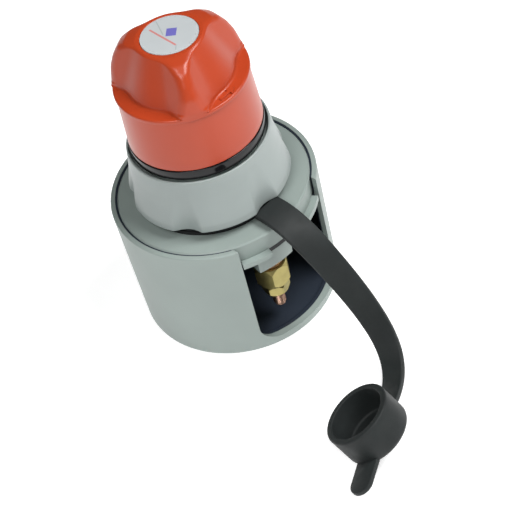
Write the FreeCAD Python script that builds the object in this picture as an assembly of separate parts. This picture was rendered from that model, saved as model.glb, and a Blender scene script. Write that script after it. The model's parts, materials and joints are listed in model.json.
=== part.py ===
import FreeCAD, Part
import math
import os
from FreeCAD import Matrix, Vector

# Battery switch for a panel: a round body that is fixed by a ring nut from the front, a pull-off key
# knob that turns a contact bridge by a quarter turn, and a tethered rubber cap for the empty socket.
# Millimetres. +Z is the switch axis, out of the panel towards the knob. The origin is the centre of
# the rear housing's flat end, which the switch stands on. An azimuth is measured about +Z from -Y
# towards +X, so azimuth 90 is +X.

# heights along the axis
FLOOR = 3.2              # inside of the housing's closed end
FLANGE_LOW = 58.2        # underside of the front body's flange
FLANGE_TOP = 67.5        # face that seats on the back of the panel
NUT_BOTTOM = 72.6
NUT_TOP = 99.0
NECK_TOP = 97.0
SLEEVE_LOW = 99.2
KNOB_LOW = 104.0
SHOULDER = 130.4         # step between the knob's skirt and its grip
LEDGE = 132.5            # ledge below the grip's three cut-away sides
KNOB_TOP = 153.6
BOSS_TOP = 114.0

# rear housing
BASE_R = 47.3
RIM_R = 47.9
WALL = 2.4
BASE_FILLET = 2.0
RIM_BORE = 45.65         # bore at the rim, above the step that the flange's liner stands on
LINER_THICK = 0.9
SLOT_AZIMUTH = 35.0
SLOT_WIDTH = 52.0
SLOT_LOW = 5.0
SLOT_CORNER = 9.0
RIM_ROUND = 0.7
FIXING_R = 35.5          # circle of the posts and of the terminal studs
POST_AZIMUTHS = (114.0, 159.0, 249.0, 294.0)
POST_R = 4.2
SCREW_R = 1.75

# front body
FLANGE_R = 44.6
FLANGE_ROUND = 0.6
NECK_R = 28.0
NECK_BORE = 16.0
THREAD_PITCH = 2.0
THREAD_DEPTH = 0.7
BOSS_R = 12.4
SHAFT_BORE = 9.36
SHOULDER_Z = 79.0        # top of the bore that holds the rotor's flange
LUG_SPANS = ((2.7, 20.0), (47.0, 66.5))

# contact base and terminals
TERMINAL_AZIMUTHS = (24.0, 204.0)
BASE_LOW = 42.0
BASE_TOP = 55.0
CONTACT_FLOOR = 50.0
BASE_BODY_R = 31.0
RECESS_R = 27.0
LUG_R = 43.2
LUG_WIDTH = 18.4
LUG_LOW = 45.0
BASE_SCREW_AZIMUTHS = (69.0, 136.5, 271.5, 339.0)
BASE_SCREW_CIRCLE = 28.8
STUD_R = 3.0             # threaded free end
SHANK_R = 2.65           # plain shank that the nuts and washers sit on
STUD_LOW = 12.0
STUD_STEP = 21.8         # top of the free end
STUD_SHOULDER_R = 6.5
CLAMP_LOW = 29.7
CLAMP_TOP = 41.6
NUT_LOW = 22.6
NUT_HIGH = 28.0

# rotor
ROTOR_TOP = 112.0
SHAFT_R = 9.3
ROTOR_FLANGE_R = 15.6
ROTOR_FLANGE_LOW = 70.5
STEM_TOP = 66.0
STEM_SIDE = 8.0
BRIDGE_LOW = 53.1
BRIDGE_THICK = 3.0
SOCKET_LOW = 92.0
KEY_R = 5.0
WING_R = 7.1
WING_WIDTH = 2.8

# ring nut
NUT_BORE = 28.35
NUT_FOOT_R = 37.2
NUT_HEAD_R = 32.4
NUT_SEAT = 95.0          # floor of the counterbore that the knob's sleeve turns in
FLUTES = 6
FLUTE_R = 8.5
FLUTE_FLOOR = 34.4
FLUTE_FIRST = 33.0

# knob
SKIRT_LOW_R = 30.4
SKIRT_TOP_R = 29.1
SLEEVE_R = 30.7
SLEEVE_TUBE_R = 26.2
LABEL_R = 12.6
GRIP_SIDES = (-55.0, 57.0, 181.0)
GRIP_HALF_LOW = 21.5     # from the axis to a side of the grip, at the ledge
GRIP_HALF_TOP = 13.4
CORE_LOW = 24.5          # cone in the middle of the grip, which stands out of its sides
CORE_TOP = 14.75
ARROW_R = 27.0            # raised arrow on the ledge
ARROW_AZIMUTH = 37.0

# rubber tether: ring, strap and cap
RING_LOW = 69.3
RING_TOP = 72.1
RING_R = 33.0
STRAP_THICK = 2.8
STRAP_WIDTHS = (14.6, 10.8)
STRAP_FIRST = Vector(18.6, -28.5, 70.7)
STRAP_HANDLES = (Vector(35.4, -54.0, 74.0), Vector(37.0, -65.0, 51.0), Vector(71.5, -58.5, -10.6))
STRAP_SINK = 0.5         # how far the strap's curve runs into the cap's wall
HINGE_GAP = 1.5          # from a line where the rubber bends to the end of the fixed side
BEND_R = 1.3             # rounded end of the strap about each of those lines
STRAP_SIDE = Vector(-0.837, -0.548, 0)
STRAP_HINGE = 0.05       # where along the strap's curve it bends at the ring
CAP_X, CAP_Y = 37.6, -118.4
CAP_AXIS = Vector(-0.453, 0.263, 0.852).normalize()
CAP_R = 15.9
CAP_BORE = 13.1
CAP_LENGTH = 16.7
CAP_END = 2.8
CAP_ROUND = 2.5
CAP_HINGE = 4.0          # from the cap's wall to the line where the strap bends
TAB_LENGTH = 15.5
TAB_WIDTH = 11.0


def direction(azimuth):
    angle = math.radians(azimuth - 90.0)
    return Vector(math.cos(angle), math.sin(angle), 0)


def at(radius, azimuth, z):
    return direction(azimuth) * radius + Vector(0, 0, z)


def rod(radius, low, high, centre=Vector(0, 0, 0)):
    return Part.makeCylinder(radius, high - low, Vector(centre.x, centre.y, low))


def tube(inner, outer, low, high, centre=Vector(0, 0, 0)):
    return rod(outer, low, high, centre).cut(rod(inner, low, high, centre))


def face_of(points):
    corners = [Vector(*p) for p in points]
    return Part.Face(Part.makePolygon(corners + corners[:1]))


def turned(points):
    """Solid of revolution about Z from (radius, height) corners."""
    profile = face_of([(r, 0, z) for r, z in points])
    return profile.revolve(Vector(0, 0, 0), Vector(0, 0, 1), 360)


def sector(inner, outer, low, high, first, last):
    ring = Part.makeCylinder(outer, high - low, Vector(0, 0, low), Vector(0, 0, 1), last - first)
    ring.rotate(Vector(0, 0, 0), Vector(0, 0, 1), first - 90.0)
    return ring.cut(rod(inner, low, high))


def block(near, far, width, low, high, azimuth):
    """Box that runs outwards from the axis along an azimuth."""
    box = Part.makeBox(far - near, width, high - low, Vector(near, -width / 2, low))
    box.rotate(Vector(0, 0, 0), Vector(0, 0, 1), azimuth - 90.0)
    return box


def hexagon(across_flats, low, high, centre, turn=0.0):
    corner = across_flats / math.sqrt(3)
    steps = [math.radians(60 * k + turn) for k in range(6)]
    ring = [(centre.x + corner * math.cos(a), centre.y + corner * math.sin(a), low) for a in steps]
    prism = face_of(ring).extrude(Vector(0, 0, high - low))
    bevel = (high - low) * 0.2
    limit = turned([(0, low), (across_flats / 2, low), (corner, low + bevel), (corner, high - bevel),
                    (across_flats / 2, high), (0, high)])
    limit.translate(Vector(centre.x, centre.y, 0))
    return prism.common(limit)


def coil(radius, wire, pitch, height):
    """Compression spring that stands on z = 0."""
    path = Part.makeHelix(pitch, height, radius)
    section = Part.Wire(Part.makeCircle(wire, Vector(radius, 0, 0), Vector(0, 1, 0)))
    return Part.Wire(path).makePipeShell([section], True, True)


def cup_hollow(shrink, floor):
    """Inside of the housing, or of its liner when shrunk by the liner's thickness."""
    low = BASE_R - WALL - shrink
    high = RIM_BORE - 0.3 - shrink
    hollow = turned([(0, floor), (low, floor), (high, FLANGE_LOW), (RIM_BORE - shrink, FLANGE_LOW),
                     (RIM_BORE - shrink, FLANGE_TOP + 1), (0, FLANGE_TOP + 1)])
    corner = [e for e in hollow.Edges if abs(e.BoundBox.ZMax - floor) < 0.01 and e.BoundBox.XMax > 40]
    return hollow.makeFillet(4.0 - shrink, corner)


def rear_housing():
    shell = turned([(0, 0), (BASE_R, 0), (RIM_R, FLANGE_TOP), (0, FLANGE_TOP)])
    foot = [e for e in shell.Edges if e.BoundBox.ZMax < 0.01 and e.BoundBox.XMax > BASE_R - 1]
    shell = shell.makeFillet(BASE_FILLET, foot)
    rim = [e for e in shell.Edges if e.BoundBox.ZMin > FLANGE_TOP - 0.01 and e.BoundBox.XMax > RIM_R - 1]
    shell = shell.makeFillet(RIM_ROUND, rim)
    shell = shell.cut(cup_hollow(0, FLOOR)).cut(cable_slot(0))
    for azimuth in POST_AZIMUTHS:
        place = at(FIXING_R, azimuth, 0)
        shell = shell.cut(rod(SCREW_R + 0.4, -1, FLOOR + 1, place))
        sink = turned([(0, -0.1), (3.8, -0.1), (3.8, 0.5), (SCREW_R + 0.4, 2.6), (0, 2.6)])
        sink.translate(place)
        shell = shell.cut(sink)
    return shell


def housing_liner():
    """Black insulating cup inside the housing, with the housing's slot; its lip shows at the rim."""
    floor = FLOOR + LINER_THICK
    liner = cup_hollow(0, FLOOR).cut(cup_hollow(LINER_THICK, floor))
    liner = liner.common(rod(60, 0, FLANGE_TOP - 0.4)).cut(cable_slot(0.4))
    for azimuth in POST_AZIMUTHS:
        liner = liner.cut(rod(SCREW_R + 0.4, 0, floor + 1, at(FIXING_R, azimuth, 0)))
    return liner


def cable_slot(margin):
    """Cutter for the slot in the housing's side, which is open at the rim."""
    width = SLOT_WIDTH + 2 * margin
    low = SLOT_LOW - margin
    slot = Part.makeBox(40, width, FLANGE_TOP + 5 - low, Vector(20, -width / 2, low))
    corners = [e for e in slot.Edges if e.BoundBox.ZMax < low + 0.01 and e.BoundBox.XLength > 39]
    slot = slot.makeFillet(SLOT_CORNER + margin, corners)
    slot.rotate(Vector(0, 0, 0), Vector(0, 0, 1), SLOT_AZIMUTH - 90.0)
    return slot


def housing_screws():
    screws = []
    for azimuth in POST_AZIMUTHS:
        screw = turned([(0, 0.3), (3.5, 0.3), (3.5, 0.5), (SCREW_R, 2.3), (SCREW_R, 15.0), (0, 15.0)])
        slot = Part.makeBox(8, 0.9, 0.9, Vector(-4, -0.45, 0.1))
        screw = screw.cut(slot)
        screw.translate(at(FIXING_R, azimuth, 0))
        screws.append(screw)
    return Part.makeCompound(screws)


def neck_profile():
    """Outline of the threaded neck, from the flange to its top, as rings of thread."""
    points = [(NECK_R, FLANGE_TOP)]
    z = FLANGE_TOP + 5.0
    while z + THREAD_PITCH < NECK_TOP - 0.5:
        points += [(NECK_R, z), (NECK_R - THREAD_DEPTH, z + THREAD_PITCH / 2)]
        z += THREAD_PITCH
    return points + [(NECK_R, z), (NECK_R, NECK_TOP)]


def front_body():
    body = turned([(0, FLANGE_LOW), (FLANGE_R, FLANGE_LOW), (FLANGE_R, FLANGE_TOP - FLANGE_ROUND),
                   (FLANGE_R - FLANGE_ROUND, FLANGE_TOP)] + neck_profile()
                  + [(BOSS_R, NECK_TOP), (BOSS_R, BOSS_TOP), (0, BOSS_TOP)])
    for first, last in LUG_SPANS:
        body = body.fuse(sector(43.0, RIM_R - 0.3, FLANGE_LOW - 2.6, FLANGE_LOW + 0.1, first, last))
    for azimuth in POST_AZIMUTHS:
        body = body.fuse(rod(POST_R, FLOOR + LINER_THICK, FLANGE_LOW + 1, at(FIXING_R, azimuth, 0)))
        body = body.cut(rod(SCREW_R, FLOOR - 1, 16.0, at(FIXING_R, azimuth, 0)))
    body = body.cut(rod(NECK_BORE, FLANGE_LOW - 4, SHOULDER_Z))
    body = body.cut(rod(SHAFT_BORE, SHOULDER_Z - 1, BOSS_TOP + 1))
    body = body.cut(tube(18.6, 25.4, FLANGE_LOW - 1, NECK_TOP - 4))
    for azimuth in BASE_SCREW_AZIMUTHS:
        body = body.cut(rod(1.5, FLANGE_LOW - 1, 65.0, at(BASE_SCREW_CIRCLE, azimuth, 0)))
    for quarter in (0.0, 90.0):
        body = body.cut(Part.makeSphere(2.6, at(13.8, -quarter, 74.25)))
    return body.removeSplitter()


def body_gasket():
    gasket = tube(30.5, 43.9, BASE_TOP, FLANGE_LOW)
    for first, last in LUG_SPANS:
        gasket = gasket.cut(sector(42.6, 46, BASE_TOP - 1, FLANGE_LOW + 1, first - 0.8, last + 0.8))
    for azimuth in POST_AZIMUTHS:
        gasket = gasket.cut(rod(POST_R + 0.3, BASE_TOP - 1, FLANGE_LOW + 1, at(FIXING_R, azimuth, 0)))
    return gasket


def panel_gasket():
    return tube(NECK_R + 0.3, RING_R + 0.4, FLANGE_TOP, RING_LOW)


def contact_base():
    base = rod(BASE_BODY_R, BASE_LOW, BASE_TOP)
    limit = rod(LUG_R, LUG_LOW, BASE_TOP)
    for azimuth in TERMINAL_AZIMUTHS:
        base = base.fuse(block(20, 46, LUG_WIDTH, LUG_LOW, BASE_TOP, azimuth).common(limit))
    base = base.cut(rod(RECESS_R, CONTACT_FLOOR, BASE_TOP + 1))
    for azimuth in TERMINAL_AZIMUTHS:
        base = base.cut(block(20, 41.2, 10.4, CONTACT_FLOOR, BASE_TOP + 1, azimuth))
        base = base.cut(rod(STUD_R + 0.1, LUG_LOW - 1, CONTACT_FLOOR + 1, at(FIXING_R, azimuth, 0)))
        base = base.cut(rod(STUD_SHOULDER_R + 0.2, BASE_LOW - 1, LUG_LOW, at(FIXING_R, azimuth, 0)))
    for azimuth in BASE_SCREW_AZIMUTHS:
        base = base.cut(rod(1.6, BASE_LOW - 1, BASE_TOP + 1, at(BASE_SCREW_CIRCLE, azimuth, 0)))
    return base.removeSplitter()


def base_screws():
    screws = []
    for azimuth in BASE_SCREW_AZIMUTHS:
        place = at(BASE_SCREW_CIRCLE, azimuth, 0)
        head = rod(2.7, BASE_LOW - 2.2, BASE_LOW, place)
        head = head.cut(rod(1.3, BASE_LOW - 3, BASE_LOW - 1, place))
        screws.append(head.fuse(rod(1.5, BASE_LOW, 64.5, place)).removeSplitter())
    return Part.makeCompound(screws)


def terminal_stud(azimuth):
    stud = turned([(0, STUD_LOW), (STUD_R - 0.6, STUD_LOW), (STUD_R, STUD_LOW + 0.8),
                   (STUD_R, STUD_STEP), (SHANK_R, STUD_STEP),
                   (SHANK_R, CLAMP_TOP), (STUD_SHOULDER_R, CLAMP_TOP), (STUD_SHOULDER_R, LUG_LOW),
                   (SHANK_R, LUG_LOW), (SHANK_R, CONTACT_FLOOR + 3.8), (0, CONTACT_FLOOR + 3.8)])
    stud.translate(at(FIXING_R, azimuth, 0))
    return stud


def fixed_contact(azimuth):
    strip = block(16.0, 41.0, 10.0, CONTACT_FLOOR, CONTACT_FLOOR + 3.0, azimuth)
    return strip.cut(rod(SHANK_R, CONTACT_FLOOR - 1, CONTACT_FLOOR + 4, at(FIXING_R, azimuth, 0)))


def per_terminal(make):
    return Part.makeCompound([make(at(FIXING_R, azimuth, 0), azimuth) for azimuth in TERMINAL_AZIMUTHS])


def clamp_nut(place, azimuth):
    nut = hexagon(15.2, CLAMP_LOW, CLAMP_TOP, place, azimuth)
    return nut.cut(rod(SHANK_R, CLAMP_LOW - 1, CLAMP_TOP + 1, place))


def lock_washer(place, azimuth):
    washer = tube(STUD_R + 0.1, 5.8, NUT_HIGH, CLAMP_LOW, place)
    gap = Part.makeBox(4, 1.0, 3, Vector(STUD_R - 0.5, -0.5, NUT_HIGH - 0.5))
    gap.rotate(Vector(0, 0, 0), Vector(0, 0, 1), azimuth)
    gap.translate(place)
    return washer.cut(gap)


def terminal_nut(place, azimuth):
    nut = hexagon(11.5, NUT_LOW, NUT_HIGH, place, azimuth + 30)
    return nut.cut(rod(SHANK_R, NUT_LOW - 1, NUT_HIGH + 1, place))


def square_hole(side, low, high):
    return Part.makeBox(side, side, high - low, Vector(-side / 2, -side / 2, low))


def rotor_shaft():
    groove = 1.9
    shaft = turned([(0, ROTOR_FLANGE_LOW), (ROTOR_FLANGE_R, ROTOR_FLANGE_LOW), (ROTOR_FLANGE_R, 78.0),
                    (SHAFT_R, 78.0), (SHAFT_R, 86.0), (SHAFT_R - 1.75, 86.0),
                    (SHAFT_R - 1.75, 86.0 + groove), (SHAFT_R, 86.0 + groove), (SHAFT_R, ROTOR_TOP),
                    (0, ROTOR_TOP)])
    shaft = shaft.fuse(rod(7.0, STEM_TOP, ROTOR_FLANGE_LOW + 1))
    shaft = shaft.fuse(square_hole(STEM_SIDE, 51.0, STEM_TOP + 1))
    shaft = shaft.cut(rod(KEY_R + 0.2, SOCKET_LOW, ROTOR_TOP + 1))
    slot = 2 * (WING_R + 0.2)
    wings = Part.makeBox(slot, WING_WIDTH + 0.3, 30, Vector(-slot / 2, -WING_WIDTH / 2 - 0.15, SOCKET_LOW))
    shaft = shaft.cut(wings)
    pocket = Part.makeCylinder(2.5, 13.0, at(4.5, 0, 74.25), direction(0))
    return shaft.cut(pocket).removeSplitter()


def rotor_washer():
    return tube(SHAFT_R + 0.1, 15.0, 78.05, 78.95)


def rotor_seal():
    return Part.makeTorus(8.42, 0.86, Vector(0, 0, 86.95))


def detent_ball():
    return Part.makeSphere(2.4, at(13.35, 0, 74.25))


def detent_spring():
    spring = coil(1.7, 0.35, 1.2, 5.2)
    spring.rotate(Vector(0, 0, 0), Vector(1, 0, 0), 90)
    spring.translate(at(5.2, 0, 74.25))
    return spring


def contact_spring():
    spring = coil(6.8, 0.6, 2.0, 8.0)
    spring.translate(Vector(0, 0, 56.8))
    return spring


def contact_bridge():
    bar = block(-24.0, 24.0, 10.0, BRIDGE_LOW, BRIDGE_LOW + BRIDGE_THICK, TERMINAL_AZIMUTHS[0] + 90.0)
    bar = bar.common(rod(24.0, BRIDGE_LOW, BRIDGE_LOW + BRIDGE_THICK))
    bar = bar.fuse(rod(8.4, BRIDGE_LOW, BRIDGE_LOW + BRIDGE_THICK))
    return bar.cut(square_hole(STEM_SIDE + 0.1, BRIDGE_LOW - 1, BRIDGE_LOW + 5)).removeSplitter()


def bridge_clip():
    clip = rod(7.6, 51.6, 52.4)
    return clip.cut(square_hole(STEM_SIDE + 0.1, 51, 53))


def slip_washer():
    return tube(NECK_R + 0.35, 32.6, RING_TOP, RING_TOP + 1.0)


def ring_nut():
    nut = turned([(NUT_BORE, RING_TOP + 1.1), (33.0, RING_TOP + 1.1), (33.0, NUT_BOTTOM),
                  (NUT_FOOT_R - 0.5, NUT_BOTTOM), (NUT_FOOT_R, NUT_BOTTOM + 0.6),
                  (NUT_FOOT_R - 0.3, NUT_BOTTOM + 3.5), (36.0, 80.0), (34.7, 85.0), (33.7, 90.0),
                  (33.0, 95.0), (NUT_HEAD_R + 0.2, NUT_TOP - 0.6), (NUT_HEAD_R - 0.2, NUT_TOP),
                  (31.5, NUT_TOP), (31.4, NUT_SEAT), (NUT_BORE, NUT_SEAT)])
    for flute in range(FLUTES):
        place = at(FLUTE_FLOOR + FLUTE_R, FLUTE_FIRST + flute * 360.0 / FLUTES, 0)
        nut = nut.cut(rod(FLUTE_R, NUT_BOTTOM - 1, NUT_TOP, place))
    return nut


def grip_side(azimuth):
    """What is cut away at one side of the grip: all that is past a leaning plane, but for the core."""
    top = KNOB_TOP + 1
    lean = (GRIP_HALF_LOW - GRIP_HALF_TOP) / (KNOB_TOP - LEDGE)
    side = face_of([(GRIP_HALF_LOW, -60, LEDGE), (60, -60, LEDGE), (60, -60, top),
                    (GRIP_HALF_TOP - lean, -60, top)]).extrude(Vector(0, 120, 0))
    side.rotate(Vector(0, 0, 0), Vector(0, 0, 1), azimuth - 90.0)
    return side.cut(turned([(0, LEDGE - 1), (CORE_LOW, LEDGE - 1), (CORE_LOW, LEDGE),
                            (CORE_TOP, KNOB_TOP), (CORE_TOP, top + 1), (0, top + 1)]))


def raised_arrow():
    """Arrow that stands 0.7 mm above the ledge and points the way the knob turns."""
    half_outline = [(-4.5, 0.7), (1.0, 0.7), (1.0, 2.1), (4.5, 0)]
    edge = half_outline + [(x, -y) for x, y in reversed(half_outline[:-1])]
    arrow = face_of([(x, y - ARROW_R, LEDGE - 0.3) for x, y in edge]).extrude(Vector(0, 0, 1.0))
    arrow.rotate(Vector(0, 0, 0), Vector(0, 0, 1), ARROW_AZIMUTH)
    return arrow


def knob_shell():
    knob = turned([(0, KNOB_LOW), (SKIRT_LOW_R, KNOB_LOW), (SKIRT_TOP_R, SHOULDER), (29.9, SHOULDER + 0.5),
                   (29.9, 134.0), (28.9, 140.0), (26.8, 145.0), (23.7, 149.6), (19.8, 152.2),
                   (CORE_TOP, KNOB_TOP), (0, KNOB_TOP)])
    for azimuth in GRIP_SIDES:
        knob = knob.cut(grip_side(azimuth))
    knob = knob.cut(rod(SLEEVE_TUBE_R + 0.1, KNOB_LOW - 1, 121.0))
    knob = knob.cut(rod(11.0, 126.0, KNOB_TOP + 1))
    knob = knob.cut(rod(LABEL_R + 0.15, KNOB_TOP - 0.8, KNOB_TOP + 1))
    knob = knob.cut(rod(2.2, 120.0, 127.0))
    return knob.fuse(raised_arrow()).removeSplitter()


def knob_sleeve():
    return turned([(23.6, SLEEVE_LOW), (SLEEVE_R, SLEEVE_LOW), (SLEEVE_R, KNOB_LOW),
                   (SLEEVE_TUBE_R, KNOB_LOW), (SLEEVE_TUBE_R, 120.9), (23.6, 120.9)])


def knob_key():
    key = rod(KEY_R, SOCKET_LOW + 1.0, 118.0).fuse(rod(14.5, 117.0, 121.0))
    wings = Part.makeBox(2 * WING_R, WING_WIDTH, 23.0, Vector(-WING_R, -WING_WIDTH / 2, SOCKET_LOW + 2.0))
    key = key.fuse(wings)
    return key.cut(rod(2.0, 106.0, 122.0)).removeSplitter()


def knob_screw():
    head = rod(3.6, 126.0, 128.4).cut(Part.makeBox(9, 1.0, 1.2, Vector(-4.5, -0.5, 127.4)))
    return head.fuse(rod(2.0, 107.0, 126.0)).removeSplitter()


def knob_label():
    return rod(LABEL_R, KNOB_TOP - 0.8, KNOB_TOP + 0.1)


def strap_point(t):
    """Middle of the strap at t, from 0 at the ring to 1 at the cap."""
    points = [STRAP_FIRST, *STRAP_HANDLES, strap_last()]
    while len(points) > 1:
        points = [a + (b - a) * t for a, b in zip(points, points[1:])]
    return points[0]


def cap_frame():
    """Centre of the cap's closed end, and the horizontal direction from it towards the strap."""
    towards = Vector(CAP_AXIS.y, -CAP_AXIS.x, 0).normalize()
    lean = math.sqrt(1 - CAP_AXIS.z ** 2)
    height = (CAP_R - CAP_ROUND) * lean + CAP_ROUND * (1 - CAP_AXIS.z)
    return Vector(CAP_X, CAP_Y, height), towards


def strap_last():
    centre, towards = cap_frame()
    return centre + CAP_AXIS * (STRAP_THICK / 2) + towards * (CAP_R - STRAP_SINK)


def strap_section(t):
    step = 0.001
    along = (strap_point(min(t + step, 1)) - strap_point(max(t - step, 0))).normalize()
    towards = cap_frame()[1]
    side = STRAP_SIDE * (1 - t) + (towards * -1).cross(CAP_AXIS) * t
    side = (side - along * side.dot(along)).normalize()
    normal = side.cross(along)
    width = STRAP_WIDTHS[0] * (1 - t) + STRAP_WIDTHS[1] * t
    middle = strap_point(t)
    across = side * (width / 2)
    up = normal * (STRAP_THICK / 2)
    corners = [middle + across + up, middle - across + up, middle - across - up, middle + across - up]
    return Part.makePolygon(corners + corners[:1])


def strap_span(first, last, sections):
    steps = [first + (last - first) * k / (sections - 1) for k in range(sections)]
    return Part.makeLoft([strap_section(t) for t in steps], True, True)


def strap_ring():
    ring = tube(NECK_R + 0.4, RING_R, RING_LOW, RING_TOP)
    heading = Vector(0.548, -0.837, 0)
    reach = strap_point(STRAP_HINGE).dot(heading) - HINGE_GAP
    root = RING_R - 2.0
    tongue = Part.makeBox(reach - root, STRAP_WIDTHS[0], RING_TOP - RING_LOW,
                          Vector(root, -STRAP_WIDTHS[0] / 2, RING_LOW))
    tongue.rotate(Vector(0, 0, 0), Vector(0, 0, 1), math.degrees(math.atan2(heading.y, heading.x)))
    return ring.fuse(tongue).removeSplitter()


def along_strap(start, distance):
    """Curve parameter that lies a distance past start, negative for before it."""
    step = 0.0005 if distance > 0 else -0.0005
    t = start
    left = abs(distance)
    while left > 0:
        left -= (strap_point(t + step) - strap_point(t)).Length
        t += step
    return t


def cap_strap():
    last = along_strap(1.0, -(CAP_HINGE + STRAP_SINK))
    strap = strap_span(STRAP_HINGE, last, 15)
    cap_side = (cap_frame()[1] * -1).cross(CAP_AXIS)
    for t, side, width in ((STRAP_HINGE, STRAP_SIDE, STRAP_WIDTHS[0]), (last, cap_side, STRAP_WIDTHS[1])):
        length = width - 0.8
        start = strap_point(t) - side * (length / 2)
        strap = strap.fuse(Part.makeCylinder(BEND_R, length, start, side))
    return strap.removeSplitter()


def rubber_cap():
    cap = rod(CAP_R, 0, CAP_LENGTH)
    foot = [e for e in cap.Edges if e.BoundBox.ZMax < 0.01]
    cap = cap.makeFillet(CAP_ROUND, foot)
    cap = cap.cut(rod(CAP_BORE, CAP_END, CAP_LENGTH + 1))
    stub_end = CAP_R + CAP_HINGE - HINGE_GAP - 0.4
    stub = Part.makeBox(stub_end - 14.0, STRAP_WIDTHS[1], STRAP_THICK - 0.6,
                        Vector(14.0, -STRAP_WIDTHS[1] / 2, 0.6))
    tab_end = CAP_R + TAB_LENGTH - TAB_WIDTH / 2
    tab = Part.makeBox(tab_end - 14.0, TAB_WIDTH, STRAP_THICK - 0.6, Vector(-tab_end, -TAB_WIDTH / 2, 0.6))
    tab = tab.fuse(rod(TAB_WIDTH / 2, 0.6, STRAP_THICK, Vector(-tab_end, 0, 0)))
    cap = cap.fuse(stub).fuse(tab)
    centre, towards = cap_frame()
    side = CAP_AXIS.cross(towards)
    cap = cap.removeSplitter()
    cap.transformShape(Matrix(towards.x, side.x, CAP_AXIS.x, centre.x,
                              towards.y, side.y, CAP_AXIS.y, centre.y,
                              towards.z, side.z, CAP_AXIS.z, centre.z,
                              0, 0, 0, 1))
    return cap


NODES = {
    "rear_housing": rear_housing,
    "housing_liner": housing_liner,
    "housing_screws": housing_screws,
    "front_body": front_body,
    "body_gasket": body_gasket,
    "panel_gasket": panel_gasket,
    "contact_base": contact_base,
    "base_screws": base_screws,
    "terminal_stud_a": lambda: terminal_stud(TERMINAL_AZIMUTHS[0]),
    "terminal_stud_b": lambda: terminal_stud(TERMINAL_AZIMUTHS[1]),
    "fixed_contact_a": lambda: fixed_contact(TERMINAL_AZIMUTHS[0]),
    "fixed_contact_b": lambda: fixed_contact(TERMINAL_AZIMUTHS[1]),
    "clamp_nuts": lambda: per_terminal(clamp_nut),
    "lock_washers": lambda: per_terminal(lock_washer),
    "terminal_nuts": lambda: per_terminal(terminal_nut),
    "rotor_shaft": rotor_shaft,
    "rotor_washer": rotor_washer,
    "rotor_seal": rotor_seal,
    "detent_ball": detent_ball,
    "detent_spring": detent_spring,
    "contact_spring": contact_spring,
    "bridge_clip": bridge_clip,
    "contact_bridge": contact_bridge,
    "slip_washer": slip_washer,
    "ring_nut": ring_nut,
    "knob_shell": knob_shell,
    "knob_sleeve": knob_sleeve,
    "knob_key": knob_key,
    "knob_screw": knob_screw,
    "knob_label": knob_label,
    "strap_ring": strap_ring,
    "cap_strap": cap_strap,
    "rubber_cap": rubber_cap,
}

os.makedirs("parts", exist_ok=True)
for name, make in NODES.items():
    shape = make()
    shape.exportStep("parts/" + name + ".step")
    print(name, "valid", shape.isValid(), "solids", len(shape.Solids), "volume", round(shape.Volume, 1))
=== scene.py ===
import json
import math

import bmesh
import bpy
import numpy as np
from mathutils import Matrix, Vector


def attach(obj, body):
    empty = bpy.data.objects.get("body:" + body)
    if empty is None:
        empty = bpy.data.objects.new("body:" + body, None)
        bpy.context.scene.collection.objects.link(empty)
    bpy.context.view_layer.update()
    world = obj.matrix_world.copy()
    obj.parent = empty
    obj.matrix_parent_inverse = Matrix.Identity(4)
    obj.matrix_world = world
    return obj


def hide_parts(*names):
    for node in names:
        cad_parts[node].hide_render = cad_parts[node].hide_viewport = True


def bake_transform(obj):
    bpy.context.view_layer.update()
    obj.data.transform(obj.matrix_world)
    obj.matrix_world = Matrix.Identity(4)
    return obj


# A battery switch that stands on its housing: red key knob, black sleeve, grey ring nut and flange,
# an open slot with a copper stud and brass nuts, and a black rubber cap on a strap. Sizes are in
# millimetres, as in the CAD model, and an azimuth is measured about +Z from -Y towards +X.

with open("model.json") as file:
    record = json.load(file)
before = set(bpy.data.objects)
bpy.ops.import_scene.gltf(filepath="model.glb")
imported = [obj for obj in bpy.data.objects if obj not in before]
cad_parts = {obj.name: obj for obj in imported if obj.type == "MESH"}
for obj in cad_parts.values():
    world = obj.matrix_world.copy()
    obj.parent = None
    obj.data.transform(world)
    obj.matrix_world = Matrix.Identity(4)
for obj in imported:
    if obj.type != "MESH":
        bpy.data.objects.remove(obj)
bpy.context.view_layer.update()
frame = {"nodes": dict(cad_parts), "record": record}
scene = bpy.context.scene

MM = 0.001

CAMERA_AIM = Vector((0, 0, 0.0675))
CAMERA_DISTANCE = 0.678
CAMERA_ELEVATION = math.radians(43.05)
CAMERA_PAN = math.radians(0.758)
CAMERA_TILT = math.radians(-3.184)
CAMERA_ROLL = math.radians(-16.51)
CAMERA_LENS = 105.2

# knob
KNOB_LOW = 104.0
SKIRT_ROOF = 121.0       # inside of the skirt
SHOULDER = 130.4         # crease between skirt and grip
LEDGE = 132.5            # ledge below the grip's three cut-away sides
KNOB_TOP = 153.6
SKIRT_LOW_R = 30.4
SKIRT_TOP_R = 29.1
SKIRT_BORE = 26.3
GRIP_R = 29.9
GRIP_SIDES = (-55.0, 57.0, 181.0)
GRIP_HALF_LOW = 21.5     # from the axis to a side of the grip, at the ledge
GRIP_HALF_TOP = 13.4
CORE_LOW = 24.5          # cone in the middle of the grip, which stands out of its sides
CORE_TOP = 14.75
GRIP_EDGE = 2.6          # width over which the edges of the hollows are rounded
LEDGE_LIP = 0.8
LEDGE_CORNER = 1.4
TOP_RIM_R = 13.4         # inner edge of the grip's outline, on the rim round the label
RECESS_R = 12.75         # recess for the label
RECESS_DEPTH = 0.8
WELL_R = 11.0            # well under the label, for the screw
WELL_FLOOR = 126.0
SCREW_HOLE_R = 2.2
LABEL_R = 12.6
LABEL_LOW = 152.85
LABEL_TOP = 153.68
SLEEVE_LOW = 99.2
SLEEVE_TOP = 120.9
SLEEVE_R = 30.7
SLEEVE_TUBE_R = 26.2
SLEEVE_BORE = 23.6
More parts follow.
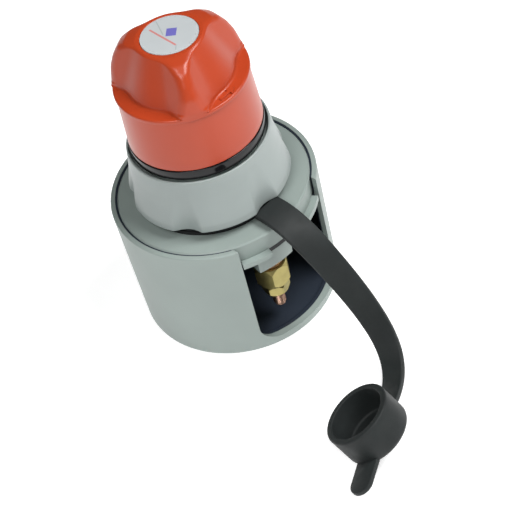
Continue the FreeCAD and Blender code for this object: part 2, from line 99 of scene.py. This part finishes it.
ARROW_R = 27.0           # raised arrow on the ledge
ARROW_AZIMUTH = 37.0
INK_BLUE = (0.15, 0.14, 0.45)
INK_RED = (0.55, 0.22, 0.21)
INK_GREY = (0.36, 0.40, 0.40)
LABEL_PRINT = (          # centre, size, turn and ink of each mark on the label
    ((-3.0, 5.8), (9.8, 0.5), -83, INK_GREY), ((1.2, -9.5), (3.0, 0.5), 76, INK_GREY),
    ((-2.9, -0.6), (17.0, 0.9), -59, INK_RED), ((1.2, 1.3), (4.4, 5.0), -16, INK_BLUE),
)

# ring nut
NUT_BOTTOM = 72.6
NUT_TOP = 99.0
NUT_SEAT = 95.0          # floor of the counterbore for the sleeve
NUT_BORE = 28.35
NUT_RELIEF_R = 33.0      # relief under the nut for the slip washer
NUT_RELIEF_TOP = 73.2
NUT_FOOT_R = 37.2
NUT_HEAD_R = 32.4
FLUTES = 6
FLUTE_R = 8.5
FLUTE_FLOOR = 34.4
FLUTE_FIRST = 33.0
FLUTE_BLEND = 2.4

# terminal studs
STUD_CIRCLE = 35.5       # radius of the circle that the studs stand on
STUD_LOW = 12.0
STUD_TOP = 53.8
STUD_SHOULDER = (41.6, 45.0)
STUD_SHOULDER_R = 6.5
SHANK_R = 2.65
THREAD_LOW = 12.4
THREAD_TOP = 30.0
THREAD_PITCH = 1.0
THREAD_ROOT = 2.45
THREAD_DEPTH = 0.55
THREAD_STEPS = 6         # rings in one turn of the thread

# tether
RING_LOW = 69.35
RING_TOP = 72.1
RING_BORE = 28.4
RING_R = 33.0
STRAP_THICK = 2.8
STRAP_WIDTHS = (14.6, 10.8)
STRAP_CURVE = ((18.6, -28.5, 70.7), (35.4, -54.0, 74.0), (37.0, -65.0, 51.0), (71.5, -58.5, -10.6))
STRAP_SINK = 0.5
STRAP_START = 0.01
STRAP_SECTIONS = 40
STRAP_SIDE = Vector((-0.837, -0.548, 0))
CAP_AXIS = Vector((-0.453, 0.263, 0.852)).normalized()
CAP_TOWARDS = Vector((CAP_AXIS.y, -CAP_AXIS.x, 0)).normalized()
CAP_END_CENTRE = Vector((37.6, -118.4, 7.388))
CAP_R = 15.9
CAP_BORE = 13.1
CAP_LENGTH = 16.7
CAP_END = 2.8
TAB_LENGTH = 15.5
TAB_WIDTH = 11.0
TAB_ROOT = 12.0

AXIS_R = 0.01            # radius that stands for the axis where a turned shape is closed


# ---------------------------------------------------------------- mesh helpers

def make_object(name, mesh, sharp):
    obj = bpy.data.objects.new(name, mesh)
    scene.collection.objects.link(obj)
    mesh.shade_smooth()
    mesh.set_sharp_from_angle(angle=math.radians(sharp))
    return obj


def mesh_of(name, points, faces):
    mesh = bpy.data.meshes.new(name)
    mesh.from_pydata([tuple(p) for p in points], [], faces)
    work = bmesh.new()
    work.from_mesh(mesh)
    bmesh.ops.recalc_face_normals(work, faces=work.faces)
    work.to_mesh(mesh)
    work.free()
    return mesh


def outline(corners, step=1.0, arc_steps=5, closed=True):
    """Points along an outline of (r, z, fillet radius) corners, with arcs at the corners."""
    points = []
    count = len(corners)
    for k, (r, z, fillet) in enumerate(corners):
        here = Vector((r, z))
        if not closed and k in (0, count - 1):
            points.append(here)
            continue
        back = (Vector(corners[k - 1][:2]) - here)
        ahead = (Vector(corners[(k + 1) % count][:2]) - here)
        half = back.angle(ahead) / 2
        if fillet == 0 or half > math.radians(89.5):
            points.append(here)
            continue
        reach = fillet / math.tan(half)
        first = here + back.normalized() * reach
        last = here + ahead.normalized() * reach
        centre = here + (back.normalized() + ahead.normalized()).normalized() * fillet / math.sin(half)
        for n in range(arc_steps + 1):
            spoke = (first - centre).lerp(last - centre, n / arc_steps).normalized()
            points.append(centre + spoke * fillet)
    filled = []
    for k, here in enumerate(points):
        filled.append(here)
        if k == len(points) - 1 and not closed:
            break
        ahead = points[(k + 1) % len(points)]
        gaps = max(1, math.ceil((ahead - here).length / step))
        filled += [here.lerp(ahead, n / gaps) for n in range(1, gaps)]
    return filled


def azimuths(around):
    return np.linspace(0, 2 * math.pi, around, endpoint=False)


def skin(name, rings, around, closed=True):
    """Mesh from rings of (radii, heights), each an array with one value per azimuth."""
    angle = azimuths(around)
    points = []
    for radius, height in rings:
        radius = np.broadcast_to(radius, angle.shape)
        height = np.broadcast_to(height, angle.shape)
        points += zip(radius * np.sin(angle) * MM, -radius * np.cos(angle) * MM, height * MM)
    faces = []
    count = len(rings)
    for i in range(count if closed else count - 1):
        low = i * around
        high = (i + 1) % count * around
        for j in range(around):
            k = (j + 1) % around
            faces.append((low + j, low + k, high + k, high + j))
    if not closed:
        faces.append(tuple(range(around)))
        faces.append(tuple(range((count - 1) * around, count * around)))
    return mesh_of(name, points, faces)


def turned(name, corners, closed=True):
    rings = [(p.x, p.y) for p in outline(corners, 3.0, closed=closed)]
    return make_object(name, skin(name, rings, 180, closed), 35)


def soft_min(a, b, width):
    """The smaller of two radii, with the edge between them rounded over a width."""
    overlap = np.maximum(width - np.abs(a - b), 0) / width
    return np.minimum(a, b) - overlap ** 2 * width / 4


def hollow_radius(angle, azimuth, floor, radius):
    """Radius at which a ray from the axis meets an upright round hollow in the side of a body."""
    off = np.mod(angle - math.radians(azimuth) + math.pi, 2 * math.pi) - math.pi
    centre = floor + radius
    inside = radius ** 2 - (centre * np.sin(off)) ** 2
    hit = centre * np.cos(off) - np.sqrt(np.maximum(inside, 0))
    return np.where((inside > 0) & (np.abs(off) < math.pi / 2), hit, 1000.0)


# ---------------------------------------------------------------- materials

NOISE_SPAN = (0.3, 0.7)   # part of a noise texture's output that most of it falls in


class Nodes:
    """Short way to write a material's node tree."""

    def __init__(self, name):
        self.material = bpy.data.materials.new(name)
        self.material.use_nodes = True
        self.tree = self.material.node_tree
        self.shader = self.tree.nodes["Principled BSDF"]
        self.place = self.tree.nodes.new("ShaderNodeTexCoord").outputs["Object"]

    def set(self, **values):
        for socket, value in values.items():
            self.shader.inputs[socket.replace("_", " ")].default_value = value

    def link(self, out, socket):
        self.tree.links.new(out, self.shader.inputs[socket])

    def noise(self, scale, detail=3.0, stretch=(1, 1, 1)):
        mapping = self.tree.nodes.new("ShaderNodeMapping")
        mapping.inputs["Scale"].default_value = stretch
        self.tree.links.new(self.place, mapping.inputs["Vector"])
        noise = self.tree.nodes.new("ShaderNodeTexNoise")
        noise.inputs["Scale"].default_value = scale
        noise.inputs["Detail"].default_value = detail
        self.tree.links.new(mapping.outputs["Vector"], noise.inputs["Vector"])
        return noise.outputs["Fac"]

    def ramp(self, fac, low, high):
        ramp = self.tree.nodes.new("ShaderNodeValToRGB")
        for stop, position, colour in zip(ramp.color_ramp.elements, NOISE_SPAN, (low, high)):
            stop.position = position
            stop.color = (*colour, 1)
        self.tree.links.new(fac, ramp.inputs["Fac"])
        return ramp.outputs["Color"]

    def span(self, fac, low, high):
        span = self.tree.nodes.new("ShaderNodeMapRange")
        span.inputs["From Min"].default_value = NOISE_SPAN[0]
        span.inputs["From Max"].default_value = NOISE_SPAN[1]
        span.inputs["To Min"].default_value = low
        span.inputs["To Max"].default_value = high
        self.tree.links.new(fac, span.inputs["Value"])
        return span.outputs["Result"]

    def bump(self, fac, depth):
        bump = self.tree.nodes.new("ShaderNodeBump")
        bump.inputs["Distance"].default_value = depth * MM
        self.tree.links.new(fac, bump.inputs["Height"])
        self.link(bump.outputs["Normal"], "Normal")

    def math(self, kind, first, second=None):
        node = self.tree.nodes.new("ShaderNodeMath")
        node.operation = kind
        for socket, value in zip(node.inputs, (first, second)):
            if isinstance(value, (int, float)):
                socket.default_value = value
            elif value is not None:
                self.tree.links.new(value, socket)
        return node.outputs[0]

    def patch(self, place, size, turn):
        """Mask of a rectangle seen from above, from its centre and size, turned about its centre."""
        mapping = self.tree.nodes.new("ShaderNodeMapping")
        mapping.vector_type = "TEXTURE"
        mapping.inputs["Location"].default_value = (place[0] * MM, place[1] * MM, 0)
        mapping.inputs["Rotation"].default_value = (0, 0, math.radians(turn))
        mapping.inputs["Scale"].default_value = (size[0] / 2 * MM, size[1] / 2 * MM, 1)
        self.tree.links.new(self.place, mapping.inputs["Vector"])
        split = self.tree.nodes.new("ShaderNodeSeparateXYZ")
        self.tree.links.new(mapping.outputs["Vector"], split.inputs["Vector"])
        across = self.math("ABSOLUTE", split.outputs["X"])
        along = self.math("ABSOLUTE", split.outputs["Y"])
        return self.math("LESS_THAN", self.math("MAXIMUM", across, along), 1.0)

    def printed(self, below, ink, mask):
        mix = self.tree.nodes.new("ShaderNodeMix")
        mix.data_type = "RGBA"
        self.tree.links.new(mask, mix.inputs["Factor"])
        self.tree.links.new(below, mix.inputs["A"])
        self.tree.links.new(ink, mix.inputs["B"])
        return mix.outputs["Result"]


def shade(colour, amount):
    return tuple(c * amount for c in colour)


def plastic(name, colour, rough, grain=0.02, index=1.47):
    """Moulded plastic: fine texture, slow shifts of tone and an uneven gloss."""
    nodes = Nodes(name)
    nodes.link(nodes.ramp(nodes.noise(28), shade(colour, 0.95), shade(colour, 1.05)), "Base Color")
    nodes.link(nodes.span(nodes.noise(60, 2), rough - 0.02, rough + 0.03), "Roughness")
    nodes.bump(nodes.noise(1400, 2), grain)
    nodes.set(IOR=index)
    return nodes.material


def rubber(name, colour):
    """Moulded rubber: matt, with dusty lighter patches."""
    nodes = Nodes(name)
    nodes.link(nodes.ramp(nodes.noise(70, 5), colour, shade(colour, 1.35)), "Base Color")
    nodes.link(nodes.span(nodes.noise(120, 4), 0.52, 0.68), "Roughness")
    nodes.bump(nodes.noise(1100, 3), 0.025)
    nodes.set(IOR=1.4, Sheen_Weight=0.02)
    return nodes.material


def metal(name, colour, rough, tarnish=0.8, stretch=(1, 1, 1)):
    """Machined metal: tool marks along the stretch's short axis and darker tarnish in patches."""
    nodes = Nodes(name)
    nodes.link(nodes.ramp(nodes.noise(160, 5), shade(colour, tarnish), colour), "Base Color")
    marks = nodes.noise(900, 2, stretch)
    nodes.link(nodes.span(marks, rough - 0.06, rough + 0.08), "Roughness")
    nodes.bump(marks, 0.012)
    nodes.set(Metallic=1.0)
    return nodes.material


def printed_label(name, colour):
    """White sheet with a plain print: a blue square, a red bar and thin grey lines."""
    nodes = Nodes(name)
    tone = nodes.noise(40)
    paper = nodes.ramp(tone, shade(colour, 0.93), shade(colour, 1.04))
    for place, size, turn, ink in LABEL_PRINT:
        mask = nodes.patch(place, size, turn)
        paper = nodes.printed(paper, nodes.ramp(tone, shade(ink, 0.9), shade(ink, 1.1)), mask)
    nodes.link(paper, "Base Color")
    nodes.link(nodes.span(nodes.noise(60, 2), 0.32, 0.38), "Roughness")
    nodes.bump(nodes.noise(1400, 2), 0.004)
    return nodes.material


FINISHES = {
    "body_grey": plastic("body_grey", (0.27, 0.32, 0.30), 0.42),
    "nut_grey": plastic("nut_grey", (0.29, 0.33, 0.32), 0.38),
    "knob_red": plastic("knob_red", (0.43, 0.050, 0.014), 0.30, 0.006),
    "gloss_black": plastic("gloss_black", (0.008, 0.008, 0.009), 0.07, 0.003, 1.35),
    "liner_black": plastic("liner_black", (0.022, 0.029, 0.042), 0.34),
    "rotor_plastic": plastic("rotor_plastic", (0.05, 0.05, 0.055), 0.40),
    "washer_nylon": plastic("washer_nylon", (0.75, 0.74, 0.70), 0.45),
    "label_white": printed_label("label_white", (0.47, 0.50, 0.51)),
    "rubber_black": rubber("rubber_black", (0.011, 0.014, 0.014)),
    "seal_black": rubber("seal_black", (0.012, 0.012, 0.013)),
    "copper": metal("copper", (0.72, 0.45, 0.33), 0.30, 0.82, (1, 1, 14)),
    "brass": metal("brass", (0.42, 0.36, 0.14), 0.34, 0.70, (1, 1, 10)),
    "zinc_steel": metal("zinc_steel", (0.60, 0.60, 0.59), 0.30),
    "spring_steel": metal("spring_steel", (0.42, 0.42, 0.43), 0.28),
}


def paint(obj, slot):
    obj.data.materials.clear()
    obj.data.materials.append(FINISHES[slot])
    return obj


def paint_cad():
    """Every CAD node gets the finish of its own material slot."""
    for part in frame["record"]["subparts"]:
        node = frame["nodes"][part["node"]]
        for slot in node.material_slots:
            slot.material = FINISHES[part["material_slot"]]
        if not node.material_slots:
            node.data.materials.append(FINISHES[part["material_slot"]])


# ---------------------------------------------------------------- knob

def grip_outline():
    """Outer line of the grip from the crease to the edge of the label's recess."""
    return outline([(SKIRT_TOP_R, SHOULDER, 0), (GRIP_R, SHOULDER + 0.3, 0.2), (GRIP_R, 134.0, 10),
                    (28.9, 140.0, 12), (26.8, 145.0, 10), (23.7, 149.6, 6), (19.8, 152.2, 5),
                    (CORE_TOP, KNOB_TOP, 3), (TOP_RIM_R, KNOB_TOP, 0)], 0.7, 4, False)


def side_radius(angle, height):
    """Radius of the grip's core and of its three leaning sides, at a height."""
    lean = (height - LEDGE) / (KNOB_TOP - LEDGE)
    half = GRIP_HALF_LOW + (GRIP_HALF_TOP - GRIP_HALF_LOW) * lean
    core = CORE_LOW + (CORE_TOP - CORE_LOW) * lean
    facing = np.max([np.cos(angle - math.radians(azimuth)) for azimuth in GRIP_SIDES], axis=0)
    flat = half / np.maximum(facing, 0.02)
    return -soft_min(-flat, np.full_like(angle, -core), 2.0)


def ledge_rings(angle, body, first, last):
    """Rings that run up to the ledge, in along it and up the side of the grip."""
    inner = soft_min(body(last), side_radius(angle, last), GRIP_EDGE)
    outer = np.full_like(angle, body(LEDGE))
    depth = np.clip((outer - inner) / (LEDGE_LIP + LEDGE_CORNER), 0, 1)
    depth = depth * depth * (3 - 2 * depth)
    rings = []
    for k in range(17):
        height = first + (last - first) * k / 16
        if k <= 5:
            turn = math.radians(90 * k / 5)
            radius = outer - LEDGE_LIP * (1 - math.cos(turn))
            level = LEDGE - LEDGE_LIP * (1 - math.sin(turn))
        elif k <= 10:
            along = (k - 5) / 5
            radius = outer - LEDGE_LIP + (inner + LEDGE_CORNER - outer + LEDGE_LIP) * along
            level = LEDGE
        else:
            turn = math.radians(90 * (k - 10) / 6)
            radius = inner + LEDGE_CORNER * (1 - math.sin(turn))
            level = LEDGE + LEDGE_CORNER * (1 - math.cos(turn))
        plain = np.full_like(angle, body(height))
        rings.append((plain + (radius - plain) * depth, height + (level - height) * depth))
    return rings


def make_knob():
    around = 540
    angle = azimuths(around)
    grip = grip_outline()
    heights = [p.y for p in grip]
    radii = [p.x for p in grip]

    def body(height):
        return float(np.interp(height, heights, radii))

    recess_floor = KNOB_TOP - RECESS_DEPTH
    inside = outline([(TOP_RIM_R, KNOB_TOP, 0), (RECESS_R, KNOB_TOP, 0.3), (RECESS_R, recess_floor, 0),
                      (WELL_R, recess_floor, 0), (WELL_R, WELL_FLOOR, 0), (SCREW_HOLE_R, WELL_FLOOR, 0),
                      (SCREW_HOLE_R, SKIRT_ROOF, 0), (SKIRT_BORE, SKIRT_ROOF, 0), (SKIRT_BORE, KNOB_LOW, 0.3),
                      (SKIRT_LOW_R, KNOB_LOW, 0.7), (SKIRT_TOP_R, SHOULDER, 0)], 4.0, 4, False)
    first = LEDGE - LEDGE_LIP
    last = LEDGE + LEDGE_CORNER
    rings = [(p.x, p.y) for p in grip if p.y < first - 0.1]
    rings += ledge_rings(angle, body, first, last)
    for p in grip:
        if p.y > last + 0.2:
            rings.append((soft_min(p.x, side_radius(angle, p.y), GRIP_EDGE), p.y))
    rings += [(p.x, p.y) for p in inside[1:-1]]
    knob = make_object("knob_grip", skin("knob_grip", rings, around), 50)
    paint(knob, "knob_red")
    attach(knob, "knob")
    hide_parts("knob_shell")


def make_label():
    label = turned("label_disc", [(AXIS_R, LABEL_LOW, 0), (LABEL_R, LABEL_LOW, 0), (LABEL_R, LABEL_TOP, 0.15),
                                  (AXIS_R, LABEL_TOP, 0)], closed=False)
    paint(label, "label_white")
    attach(label, "knob")
    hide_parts("knob_label")


def make_arrow():
    """Plain raised arrow on the ledge."""
    half = [(-4.5, 0.7), (1.0, 0.7), (1.0, 2.1), (4.5, 0)]
    rim = [Vector((x, y - ARROW_R)) for x, y in half + [(x, -y) for x, y in reversed(half[:-1])]]
    work = bmesh.new()
    turn = Matrix.Rotation(math.radians(ARROW_AZIMUTH), 4, "Z")
    add_slab(work, rim, LEDGE - 0.3, LEDGE + 0.7, turn, 0.25)
    arrow = paint(finish_shells("knob_arrow", work, 40), "knob_red")
    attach(arrow, "knob")


def make_sleeve():
    sleeve = turned("knob_collar", [(SLEEVE_BORE, SLEEVE_LOW, 0.3), (SLEEVE_R, SLEEVE_LOW, 0.5),
                                    (SLEEVE_R, KNOB_LOW, 0.35), (SLEEVE_TUBE_R, KNOB_LOW, 0),
                                    (SLEEVE_TUBE_R, SLEEVE_TOP, 0), (SLEEVE_BORE, SLEEVE_TOP, 0)])
    paint(sleeve, "gloss_black")
    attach(sleeve, "knob")
    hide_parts("knob_sleeve")


# ---------------------------------------------------------------- ring nut

def make_ring_nut():
    around = 540
    angle = azimuths(around)
    flutes = np.min([hollow_radius(angle, FLUTE_FIRST + 360.0 / FLUTES * k, FLUTE_FLOOR, FLUTE_R)
                     for k in range(FLUTES)], axis=0)
    edge = outline([(NUT_BORE, NUT_RELIEF_TOP, 0), (NUT_RELIEF_R, NUT_RELIEF_TOP, 0),
                    (NUT_RELIEF_R, NUT_BOTTOM, 0), (NUT_FOOT_R, NUT_BOTTOM, 0.6), (36.9, 76.1, 3),
                    (36.0, 80.0, 12), (34.7, 85.0, 16), (33.7, 90.0, 20), (33.0, 95.0, 20),
                    (NUT_HEAD_R, NUT_TOP, 0.6), (31.5, NUT_TOP, 0.25), (31.4, NUT_SEAT, 0),
                    (NUT_BORE, NUT_SEAT, 0.2)], 1.0)
    rings = []
    for p in edge:
        radius = np.full_like(angle, p.x)
        if p.x > NUT_RELIEF_R + 0.05:
            radius = soft_min(radius, flutes, FLUTE_BLEND)
        rings.append((radius, p.y))
    nut = make_object("ring_nut_body", skin("ring_nut_body", rings, around), 40)
    paint(nut, "nut_grey")
    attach(nut, "ring_nut")
    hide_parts("ring_nut")


# ---------------------------------------------------------------- terminals

def make_stud(name, azimuth, node):
    """Stud with a helical thread on its free end, a plain shank and a shoulder."""
    around = 36
    angle = azimuths(around)
    rings = [(AXIS_R, STUD_LOW), (2.3, STUD_LOW)]
    for k in range(round((THREAD_TOP - THREAD_LOW) / THREAD_PITCH * THREAD_STEPS) + 1):
        height = THREAD_LOW + k * THREAD_PITCH / THREAD_STEPS
        wave = np.abs(np.mod(height / THREAD_PITCH - angle / (2 * math.pi), 1.0) - 0.5) * 2
        ease = min(1.0, k / 5)
        rings.append((THREAD_ROOT + THREAD_DEPTH * wave * ease, height))
    low, high = STUD_SHOULDER
    rings += [(SHANK_R, THREAD_TOP + 0.6), (SHANK_R, low), (STUD_SHOULDER_R - 0.3, low),
              (STUD_SHOULDER_R, low + 0.3), (STUD_SHOULDER_R, high), (SHANK_R, high),
              (SHANK_R, STUD_TOP - 0.2), (SHANK_R - 0.25, STUD_TOP), (AXIS_R, STUD_TOP)]
    stud = make_object(name, skin(name, rings, around, False), 60)
    turn = math.radians(azimuth)
    place = Vector((math.sin(turn), -math.cos(turn), 0)) * STUD_CIRCLE * MM
    stud.data.transform(Matrix.Translation(place))
    paint(stud, "copper")
    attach(stud, "root")
    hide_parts(node)


# ---------------------------------------------------------------- tether

def strap_last():
    return CAP_END_CENTRE + CAP_AXIS * (STRAP_THICK / 2) + CAP_TOWARDS * (CAP_R - STRAP_SINK)


def strap_point(t):
    points = [Vector(p) for p in STRAP_CURVE] + [strap_last()]
    while len(points) > 1:
        points = [a.lerp(b, t) for a, b in zip(points, points[1:])]
    return points[0]


def strap_axes(t):
    """Directions along, across and out of the strap's flat at t."""
    along = (strap_point(t + 0.001) - strap_point(t - 0.001)).normalized()
    side = STRAP_SIDE * (1 - t) + (-CAP_TOWARDS).cross(CAP_AXIS) * t
    side = (side - along * side.dot(along)).normalized()
    return along, side, side.cross(along)


def strap_ring_points(t):
    """Rounded rectangle round the strap's middle line at t."""
    side, normal = strap_axes(t)[1:]
    width = STRAP_WIDTHS[0] * (1 - t) + STRAP_WIDTHS[1] * t
    rim = outline([(width / 2, STRAP_THICK / 2, 0.8), (-width / 2, STRAP_THICK / 2, 0.8),
                   (-width / 2, -STRAP_THICK / 2, 0.8), (width / 2, -STRAP_THICK / 2, 0.8)], 100.0, 4)
    return [strap_point(t) + side * p.x + normal * p.y for p in rim]


def strap_shell(work, first, last):
    """Adds a stretch of the strap to a mesh, closed at both ends."""
    rows = []
    for t in np.linspace(first, last, STRAP_SECTIONS):
        rows.append([work.verts.new(p * MM) for p in strap_ring_points(t)])
    for low, high in zip(rows, rows[1:]):
        for j in range(len(low)):
            k = (j + 1) % len(low)
            work.faces.new((low[j], low[k], high[k], high[j]))
    work.faces.new(rows[0])
    work.faces.new(rows[-1])


def add_turned(work, corners, place, closed=True):
    """Adds a turned shape to a mesh, with its axis placed by a matrix in millimetres."""
    mesh = skin("turned", [(p.x, p.y) for p in outline(corners, 3.0, closed=closed)], 120, closed)
    mesh.transform(Matrix.Scale(1 / MM, 4))
    mesh.transform(place)
    mesh.transform(Matrix.Scale(MM, 4))
    work.from_mesh(mesh)
    bpy.data.meshes.remove(mesh)


def add_slab(work, rim, low, high, place, edge=0.5):
    """Adds a flat slab with rounded edges: rim is its outline, in the slab's own plane."""
    levels = [(low, -edge), (low + edge * 0.3, -edge * 0.3), (low + edge, 0), (high - edge, 0),
              (high - edge * 0.3, -edge * 0.3), (high, -edge)]
    middle = sum(rim, Vector((0, 0))) / len(rim)
    rows = []
    for level, inset in levels:
        row = []
        for p in rim:
            spoke = p - middle
            q = middle + spoke * (1 + inset / spoke.length)
            row.append(work.verts.new(place @ Vector((q.x, q.y, level)) * MM))
        rows.append(row)
    for a, b in zip(rows, rows[1:]):
        for j in range(len(a)):
            k = (j + 1) % len(a)
            work.faces.new((a[j], a[k], b[k], b[j]))
    work.faces.new(rows[0])
    work.faces.new(rows[-1])


def finish_shells(name, work, sharp):
    bmesh.ops.recalc_face_normals(work, faces=work.faces)
    mesh = bpy.data.meshes.new(name)
    work.to_mesh(mesh)
    work.free()
    return make_object(name, mesh, sharp)


def make_tether():
    upper = bmesh.new()
    add_turned(upper, [(RING_BORE, RING_LOW, 0.4), (RING_R, RING_LOW, 0.9), (RING_R, RING_TOP, 0.9),
                       (RING_BORE, RING_TOP, 0.4)], Matrix())
    strap_shell(upper, STRAP_START, 0.5)
    top = paint(finish_shells("tether_top", upper, 40), "rubber_black")
    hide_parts("strap_ring", "cap_strap")
    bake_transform(top)

    lower = bmesh.new()
    strap_shell(lower, 0.5, 1.0)
    side = CAP_AXIS.cross(CAP_TOWARDS)
    place = Matrix((CAP_TOWARDS, side, CAP_AXIS)).transposed().to_4x4()
    place.translation = CAP_END_CENTRE
    add_turned(lower, [(AXIS_R, 0, 0), (CAP_R, 0, 2.5), (CAP_R, CAP_LENGTH, 0.9), (CAP_BORE, CAP_LENGTH, 0.5),
                       (CAP_BORE, CAP_END, 1.2), (AXIS_R, CAP_END, 0)], place, closed=False)
    far = CAP_R + TAB_LENGTH
    half = TAB_WIDTH / 2
    rim = outline([(-TAB_ROOT, half, 0), (-far, half, half - 0.2), (-far, -half, half - 0.2),
                   (-TAB_ROOT, -half, 0)], 2.0, 10)
    add_slab(lower, rim, 0.5, STRAP_THICK, place)
    low = paint(finish_shells("tether_cap", lower, 40), "rubber_black")
    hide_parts("cap_strap", "rubber_cap")
    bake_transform(low)


# ---------------------------------------------------------------- camera and light

def add_camera():
    """Camera on the switch's front, turned a little off the aim point and rolled."""
    back = Vector((0, -math.cos(CAMERA_ELEVATION), math.sin(CAMERA_ELEVATION)))
    right = Vector((1, 0, 0))
    up = right.cross(-back)
    ahead = (-back + right * math.tan(CAMERA_PAN) + up * math.tan(CAMERA_TILT)).normalized()
    right = ahead.cross(up).normalized()
    up = right.cross(ahead)
    rolled_right = right * math.cos(CAMERA_ROLL) + up * math.sin(CAMERA_ROLL)
    rolled_up = up * math.cos(CAMERA_ROLL) - right * math.sin(CAMERA_ROLL)
    data = bpy.data.cameras.new("camera")
    data.lens = CAMERA_LENS
    data.sensor_width = 36
    camera = bpy.data.objects.new("camera", data)
    turn = Matrix((rolled_right, rolled_up, -ahead)).transposed().to_4x4()
    camera.matrix_world = Matrix.Translation(CAMERA_AIM + back * CAMERA_DISTANCE) @ turn
    scene.collection.objects.link(camera)
    scene.camera = camera


def add_light(name, place, size, power):
    data = bpy.data.lights.new(name, "AREA")
    data.shape = "DISK"
    data.size = size
    data.energy = power
    light = bpy.data.objects.new(name, data)
    light.location = place
    light.rotation_euler = (Vector((0, 0, 0.08)) - Vector(place)).to_track_quat("-Z", "Y").to_euler()
    scene.collection.objects.link(light)


def add_world():
    """Bright near the horizon and dim overhead, like a white table in a dark room."""
    world = bpy.data.worlds.new("studio")
    scene.world = world
    world.use_nodes = True
    tree = world.node_tree
    place = tree.nodes.new("ShaderNodeTexCoord").outputs["Generated"]
    split = tree.nodes.new("ShaderNodeSeparateXYZ")
    tree.links.new(place, split.inputs["Vector"])
    height = tree.nodes.new("ShaderNodeMapRange")
    for socket, value in (("From Min", 0.0), ("From Max", 0.8), ("To Min", 0.95), ("To Max", 0.4)):
        height.inputs[socket].default_value = value
    tree.links.new(split.outputs["Z"], height.inputs["Value"])
    tree.links.new(height.outputs["Result"], tree.nodes["Background"].inputs["Strength"])


def add_floor():
    bpy.ops.mesh.primitive_plane_add(size=6)
    floor = bpy.context.object
    floor.name = "floor"
    floor.location.z = -0.05 * MM
    nodes = Nodes("floor_white")
    nodes.link(nodes.ramp(nodes.noise(3), (0.80, 0.80, 0.80), (0.82, 0.82, 0.82)), "Base Color")
    nodes.set(Roughness=0.9, Emission_Color=(1, 1, 1, 1), Emission_Strength=0.6)
    floor.data.materials.append(nodes.material)


paint_cad()
make_knob()
make_label()
make_arrow()
make_sleeve()
make_ring_nut()
make_stud("stud_front", 24.0, "terminal_stud_a")
make_stud("stud_back", 204.0, "terminal_stud_b")
make_tether()

add_camera()
add_light("key", (0.72, -0.2, 1.2), 0.75, 18)
add_light("fill", (-0.35, -0.7, 1.1), 0.8, 10)
add_world()
scene.view_settings.view_transform = "Standard"
add_floor()
